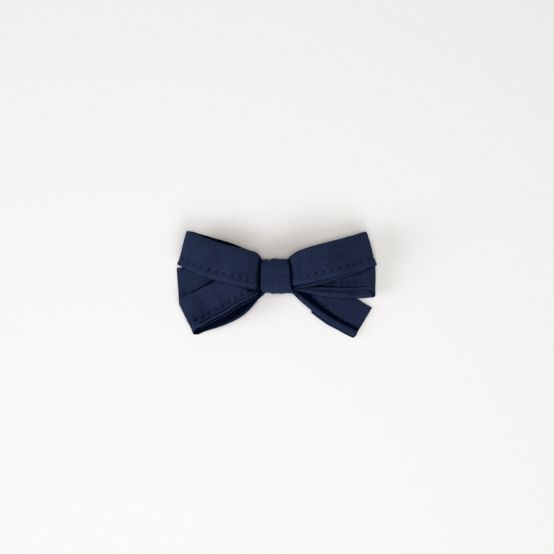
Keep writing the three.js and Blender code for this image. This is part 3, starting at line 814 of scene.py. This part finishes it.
def build_strip(spec, seed):
    stations = [placed(station) for station in spec["front"]]
    if "tips" in spec:
        stations += fold_stations(spec["side"], spec["tips"])
        stations += [placed(station) for station in reversed(spec["back"])]
    length = curve_through(stations, MESH_STEP)[0][-1]

    def two_sided(key):
        """One value on the front ply, another on the back, and 0 at the fold."""
        front, back = spec.get(key, (0.0, 0.0))

        def value(s):
            share = s / length
            half = np.where(share < 0.5, front, back)
            return half * smooth(np.abs(share - 0.5) / 0.12)

        return value

    def one_sided(key, start):
        """One value between start and the end."""
        size = spec.get(key, (0.0, 0.0))[0]
        return lambda s: size * smooth((s - start) / 1.2) * smooth((length - s + 0.6) / 1.2)

    if "tips" in spec:
        shape = [two_sided(key) for key in ("crown", "overhang", "curl", "roll", "upturn")]
    else:
        starts = {"crown": -2, "overhang": spec["step"], "curl": 12, "roll": 12, "upturn": 0}
        shape = [one_sided(key, start) for key, start in starts.items()]
    return Strip(stations, seed, spec, *shape)


KNOT_INSIDE = 5.5  # stitches stay this far out along a ply, and the wrap hides the rest
cloths, stitchings = [], []
for seed, (name, spec) in enumerate({**LOOPS, **TAILS}.items(), start=11):
    strip = build_strip(spec, seed)
    is_loop = "tips" in spec
    cloth = strip_piece(f"{name}_cloth", strip, COTTON, finished_end=not is_loop)
    cloths.append(cloth)
    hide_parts(name)
    last = strip.length - (KNOT_INSIDE if is_loop else 1.0)
    stitches = topstitch_piece(f"{name}_stitches", strip, THREAD, KNOT_INSIDE, last, seed + 50)
    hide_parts(f"{name}_topstitch")
    stitchings.append(stitches)


# ---- painted shade in creases ----
def shut_in(pieces, walls):
    """Store on each piece how far the walls shut in each of its points, as "depth", 0 to 1. The materials
    paint shade from it.
    """
    points, faces = [], []
    for piece in walls:
        base = len(points)
        points.extend(vertex.co[:] for vertex in piece.data.vertices)
        faces.extend([v + base for v in polygon.vertices] for polygon in piece.data.polygons)
    tree = BVHTree.FromPolygons(points, faces)
    golden = math.pi * (3 - math.sqrt(5))
    rays = []
    for k in range(DEPTH_RAYS):
        height = 1 - (k + 0.5) / DEPTH_RAYS
        flat = math.sqrt(1 - height**2)
        rays.append(Vector((flat * math.cos(golden * k), flat * math.sin(golden * k), height)))
    reach = DEPTH_REACH * MM
    clear = 0.03 * MM
    for piece in pieces:
        vertices = piece.data.vertices
        depth = np.zeros(len(vertices), np.float32)
        for i, vertex in enumerate(vertices):
            normal = vertex.normal
            turn = UP.rotation_difference(normal)
            start = vertex.co + normal * clear
            shut = 0.0
            for ray in rays:
                distance = tree.ray_cast(start, turn @ ray, reach)[3]
                if distance is not None:
                    shut += 1 - distance / reach
            depth[i] = shut / DEPTH_RAYS
        store(piece.data, "depth", depth)


# ---- centre wrap ----
# A strip folded in three, wound once round the knot and the clip's upper arm. Its end laps over its
# start behind, where whip stitches hold it.
WRAP_HALF = (WRAP_HIGH - WRAP_LOW) / 2
WRAP_BACK = WRAP_LOW[2] + 1.1  # outside of the first turn, behind
LAP_STEP = 0.85
LAP_LENGTH = 4.6
WRAP_CLOTH = 0.34  # half the folded strip's thickness


def wrap_path():
    """Rows of y, z, share: the wrap's middle line. share is 0 behind, 0.5 in front and 1 behind."""
    low, high = WRAP_BACK + WRAP_CLOTH, WRAP_HIGH[2] - WRAP_CLOTH
    middle, half_z = (low + high) / 2, (high - low) / 2
    half_y = WRAP_HALF[1] - WRAP_CLOTH - 0.15
    turn = np.linspace(-0.5 * math.pi + 0.12, 1.5 * math.pi - 0.02, 150)
    power = 2 / 3.4
    y = np.sign(np.cos(turn)) * np.abs(np.cos(turn)) ** power * half_y
    z = np.sign(np.sin(turn)) * np.abs(np.sin(turn)) ** power * half_z
    z = z + 0.35 * np.clip(np.sin(turn), 0, 1) * np.cos(y / half_y * math.pi / 2)
    share = (turn + 0.5 * math.pi) / (2 * math.pi)
    rows = [(KNOT[1] + a, middle + b, c) for a, b, c in zip(y, z, share)]
    lap = [(0.7, 0.05), (1.5, 0.5), (2.3, 0.92), (3.2, 1.0), (LAP_LENGTH, 1.0)]
    rows += [(KNOT[1] + a, low - LAP_STEP * b, 1.0 + a / 60) for a, b in lap]
    rows = np.array(rows)
    length = np.concatenate([[0], np.cumsum(np.hypot(*np.diff(rows[:, :2], axis=0).T))])
    even = np.linspace(0, length[-1], 190)
    return even, resample(rows, length, even)


WRAP_EDGES = {  # share round the wrap: left edge and right edge, from the knot's middle
    0.0: (-6.7, 6.7), 0.20: (-6.5, 6.5), 0.27: (-5.9, 6.3), 0.40: (-5.9, 6.5), 0.50: (-6.0, 6.9),
    0.60: (-5.9, 7.5), 0.68: (-5.4, 8.3), 0.73: (-4.6, 7.9), 0.80: (-5.4, 7.2), 1.0: (-6.7, 6.7),
    1.1: (-6.7, 6.7),
}
WRAP_RIDGES = [(-1.1, 0.30, 0.32), (0.5, 0.16, 0.30)]  # place across, height, breadth


def wrap_surface(i, across, face, path, length, ripples):
    """A point of the wrap: across runs from 0 at its left edge to 1 at its right edge."""
    y, z, share = path[i, 0], path[i, 1], path[i, 2]
    shares = sorted(WRAP_EDGES)
    left = np.interp(share, shares, [WRAP_EDGES[k][0] for k in shares])
    right = np.interp(share, shares, [WRAP_EDGES[k][1] for k in shares])
    tangent = np.gradient(path[:, :2], axis=0)[i]
    tangent /= np.linalg.norm(tangent, axis=-1, keepdims=True)
    out_y, out_z = tangent[..., 1], -tangent[..., 0]
    sag, crumple = ripples
    x = left + (right - left) * across
    half = WRAP_CLOTH * (0.25 + 0.75 * smooth(np.minimum(across, 1 - across) / 0.05))
    # The hidden raw edges under the folded strip show as low ridges along it.
    for place, height, breadth in WRAP_RIDGES:
        step = 1 / (1 + np.exp(-(x - place) / breadth * 4))
        half = half + height * (bell(x - place, breadth) + 0.5 * step)
    gather = bell(share - 0.27, 0.05) + bell(share - 0.73, 0.05)
    pleat = 0.10 * gather * np.sin(1.5 * x + 4 * share)
    belly = 0.25 * np.sin(math.pi * np.clip(across, 0, 1)) * smooth((0.5 - abs(share - 0.5)) / 0.3)
    lift = face * half + pleat + belly + 0.16 * sag(length[i], x) + 0.05 * crumple(length[i], x)
    return np.stack([KNOT[0] + x, y + out_y * lift, z + out_z * lift], axis=-1)


def wrap_piece(material):
    length, path = wrap_path()
    ripples = (Ripple(71, 16, 5), Ripple(72, 5, 1.8))
    edge_count = 5
    spread = 0.5 - 0.5 * np.cos(np.linspace(0.14, math.pi - 0.14, 30))
    steps = (-0.5, -0.25, 0, 0.25, 0.5)
    beside = [0.5 + (place + d) / (2 * WRAP_HALF[0]) for place, *_ in WRAP_RIDGES for d in steps]
    spread = np.sort(np.concatenate([spread, beside]))
    face_count = len(spread)
    across = np.concatenate([spread, np.full(edge_count, 1.0), spread[::-1], np.zeros(edge_count)])
    side = np.linspace(1, -1, edge_count + 2)[1:-1]
    face = np.concatenate([np.ones(face_count), side, -np.ones(face_count), side[::-1]])
    i, k = np.meshgrid(np.arange(len(path)), np.arange(len(across)), indexing="ij")
    points = wrap_surface(i, across[k], face[k], path, length, ripples)
    width = WRAP_HALF[0] * 2
    uv = np.stack([length[i], across[k] * width + BACK_UV * (face[k] < 0)], axis=-1)
    wear = bell(np.minimum(across[k], 1 - across[k]), 0.035)
    hole = np.zeros_like(wear)
    piece = ring_piece("centre_wrap_cloth", points, material, uv, wear=wear, hole=hole)
    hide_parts("centre_wrap")
    return piece


def closing_stitches(material):
    """Whip stitches over the lap's edge, behind."""
    edge = KNOT[1] + LAP_LENGTH
    outside = WRAP_BACK - LAP_STEP
    count = 9
    half_row = 5.6
    radius = 0.14
    run = [
        (-1.5, 0.35), (-1.35, -0.06), (-0.7, -0.17), (0.0, -0.12), (0.35, 0.2), (0.75, 0.62),
        (0.9, 1.1),
    ]  # places across the lap's edge, and heights
    points, faces = [], []
    rng = np.random.default_rng(81)
    for k in range(count):
        x = KNOT[0] - half_row + 2 * half_row * k / (count - 1) + rng.uniform(-0.15, 0.15)
        path = np.array([(x + 0.35 * a, edge + a, outside + b) for a, b in run])
        fine = curve_through(path, 0.12)[1]
        up = np.tile([0.0, 0.0, -1.0], (len(fine), 1))
        add_tube(points, faces, thread_rings(fine, up, radius))
    piece = make_piece("wrap_whip_stitches", points, faces, material, BOW_BODY)
    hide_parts("wrap_closing_thread")


# ---- clip ----
def bevelled_copy(name, node, material, body, width=0.11):
    """The CAD node's solid with rounded edges, as pressed and plated sheet has."""
    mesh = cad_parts[node].data.copy()
    mesh.name = name
    work = bmesh.new()
    work.from_mesh(mesh)
    bmesh.ops.remove_doubles(work, verts=work.verts, dist=0.000001)
    bmesh.ops.dissolve_limit(work, angle_limit=math.radians(2), verts=work.verts, edges=work.edges)
    sharp = [e for e in work.edges if e.is_manifold and e.calc_face_angle(0) > math.radians(34)]
    bmesh.ops.bevel(
        work, geom=sharp, offset=width * MM, segments=3, profile=0.6, affect="EDGES", clamp_overlap=True
    )
    bmesh.ops.triangulate(work, faces=[f for f in work.faces if len(f.verts) > 4])
    work.to_mesh(mesh)
    work.free()
    mesh.materials.clear()
    mesh.materials.append(material)
    mesh.shade_smooth()
    mesh.set_sharp_from_angle(angle=math.radians(28))
    piece = add_object(name, mesh)
    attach(piece, body)
    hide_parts(node)
    return piece


PIN_LOW, PIN_HIGH = box_mm("hinge_pin")
PIN = (PIN_LOW + PIN_HIGH) / 2
SPRING_LOW, SPRING_HIGH = box_mm("torsion_spring")
WIRE = 0.22
COIL_RADIUS = 1.2
COIL_TURNS = 5
HOOK = 0.5  # the length of the hook at a leg's end


def spring_piece(material):
    """A coil round the pin, with a leg under each finger tab that ends in a short hook."""
    half = (SPRING_HIGH[1] - SPRING_LOW[1]) / 2 - WIRE
    leg = PIN[0] - SPRING_LOW[0] - 0.1
    leg_end = PIN[0] - leg
    low_y, high_y = PIN[1] - half, PIN[1] + half
    low_z, high_z = SPRING_LOW[2] + WIRE, SPRING_HIGH[2] - WIRE
    lean = math.acos(COIL_RADIUS / math.hypot(leg, high_z - PIN[2]))
    start = math.atan2(low_z - PIN[2], -leg) + lean
    end = math.atan2(high_z - PIN[2], -leg) - lean + 2 * math.pi * COIL_TURNS
    path = [(leg_end, low_y + HOOK, low_z), (leg_end, low_y, low_z)]
    steps = COIL_TURNS * 24
    for k in range(steps + 1):
        turn = start + (end - start) * k / steps
        y = PIN[1] + half * (2 * k / steps - 1)
        path.append((PIN[0] + COIL_RADIUS * math.cos(turn), y, PIN[2] + COIL_RADIUS * math.sin(turn)))
    path += [(leg_end, high_y, high_z), (leg_end, high_y - HOOK, high_z)]
    path = np.array(path)
    run = run_length(path)
    even = np.linspace(0, run[-1], int(run[-1] / 0.14))
    fine = resample(path, run, even)
    for _ in range(3):
        fine[1:-1] = (fine[:-2] + 2 * fine[1:-1] + fine[2:]) / 4
    up = np.tile([0.0, 1.0, 0.05], (len(fine), 1))
    points, faces = [], []
    add_tube(points, faces, thread_rings(fine, up, WIRE, twist=0.0, ridge=0.0))
    piece = make_piece("torsion_spring_wire", points, faces, material, None)
    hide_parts("torsion_spring")
    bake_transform(piece)


def lining_piece(material):
    """Grosgrain ribbon glued under the jaw of the upper arm and turned over its tip."""
    low, high = box_mm("clip_lining")
    half_cloth = 0.2
    radius = (high[2] - low[2]) / 2 - half_cloth
    middle = (high[2] + low[2]) / 2
    bend = high[0] - half_cloth - radius
    path = [(low[0], middle - radius), ((low[0] + bend) / 2, middle - radius), (bend - 0.5, middle - radius)]
    path += [
        (bend + radius * math.cos(a), middle + radius * math.sin(a))
        for a in np.radians([-75, -50, -25, 0, 25, 50, 75])
    ]
    path += [(bend - 0.5, middle + radius), (bend - 2.5, middle + radius), (bend - 4.2, middle + radius)]
    s, fine = curve_through([(x, 0.0, z) for x, z in path], 0.12)
    along = unit(np.gradient(fine, axis=0))
    normal = np.stack([along[:, 2], np.zeros(len(s)), -along[:, 0]], axis=1)
    half_width = (high[1] - low[1]) / 2
    centre_y = (high[1] + low[1]) / 2
    rib = 0.5 + 0.5 * np.cos(2 * math.pi * s / 0.62)
    count = 13
    across = np.linspace(-1, 1, count)
    selvedge = 1 - 0.35 * (np.abs(across) > 0.93)
    rings = []
    for i in range(len(s)):
        thick = half_cloth * (0.62 + 0.34 * rib[i]) * selvedge
        reach = across * (half_width - 0.10 * rib[i] * (np.abs(across) > 0.99))
        top = [fine[i] + normal[i] * t + (0, centre_y + y, 0) for y, t in zip(reach, thick)]
        bottom = [fine[i] - normal[i] * t + (0, centre_y + y, 0) for y, t in zip(reach, thick)]
        rings.append(top + bottom[::-1])
    points = np.array(rings)
    uv_u = np.repeat(s[:, None], 2 * count, axis=1)
    uv_v = np.tile(np.concatenate([across, across[::-1]]) * half_width, (len(s), 1))
    uv, none = np.stack([uv_u, uv_v], axis=-1), np.zeros(points.shape[:2])
    piece = ring_piece("clip_lining_ribbon", points, material, uv, wear=none, hole=none)
    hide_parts("clip_lining")


cloths.append(wrap_piece(COTTON))
shut_in(cloths + stitchings, cloths)
closing_stitches(THREAD)
bevelled_copy("upper_arm_plated", "clip_upper_arm", STEEL, BOW_BODY)
bevelled_copy("lower_arm_plated", "clip_lower_arm", STEEL, ARM_BODY)
bevelled_copy("hinge_pin_plated", "hinge_pin", STEEL, BOW_BODY, 0.08)
spring_piece(SPRING)
lining_piece(RIBBON)
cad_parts["gathering_thread"].data.materials.clear()
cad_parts["gathering_thread"].data.materials.append(THREAD)


# ---- camera, light and floor ----
def softbox(name, azimuth, elevation, distance, size, power, colour):
    """A round soft light aimed at the bow. Azimuth 0 is towards -Y, and 90 towards +X."""
    turn, rise = math.radians(azimuth), math.radians(elevation)
    flat = distance * math.cos(rise)
    place = Vector((flat * math.sin(turn), -flat * math.cos(turn), distance * math.sin(rise)))
    light = bpy.data.lights.new(name, "AREA")
    light.shape = "DISK"
    light.size, light.energy, light.color = size, power, colour
    holder = add_object(name, light)
    holder.location = place
    holder.rotation_euler = (Vector((0, 0, 0)) - place).to_track_quat("-Z", "Y").to_euler()


def add_camera():
    data = bpy.data.cameras.new("camera")
    camera = add_object("camera", data)
    view_width = 0.2493
    distance = 0.70
    aim = (0.0003, 0.00315, 0.008)
    data.sensor_width = 36
    data.lens = data.sensor_width * distance / view_width
    camera.location = (aim[0], aim[1], distance + aim[2])
    camera.rotation_euler = (0, 0, 0)
    data.clip_end = 20
    bpy.context.scene.camera = camera


def add_floor():
    graph = Graph("pale_paper")
    grain = graph.noise(graph.place(), 900.0, 2.0)
    tone = graph.ramp(grain, 0.3, 0.7, (0.865, 0.865, 0.86), (0.895, 0.895, 0.89))
    graph.feed("Base Color", tone)
    graph.feed("Roughness", 0.9)
    graph.feed("Specular IOR Level", 0.2)
    mesh = bpy.data.meshes.new("floor")
    half = 3.0
    corners = [(-half, -half, 0), (half, -half, 0), (half, half, 0), (-half, half, 0)]
    mesh.from_pydata(corners, [], [(0, 1, 2, 3)])
    mesh.materials.append(graph.material)
    add_object("floor", mesh)


def add_light():
    world = bpy.data.worlds.new("studio")
    world.use_nodes = True
    background = world.node_tree.nodes["Background"]
    background.inputs["Color"].default_value = (1.0, 0.99, 0.98, 1)
    background.inputs["Strength"].default_value = 0.10
    bpy.context.scene.world = world
    softbox("overhead", 0, 90, 0.8, 0.34, 3.36, (1.0, 0.925, 0.855))
    softbox("front", 20, 52, 1.3, 1.0, 6.9, (0.885, 0.95, 1.0))
    softbox("left", 285, 26, 1.8, 1.1, 18.4, (0.88, 0.93, 1.0))
    bpy.context.scene.view_settings.view_transform = "Standard"


add_camera()
add_floor()
add_light()
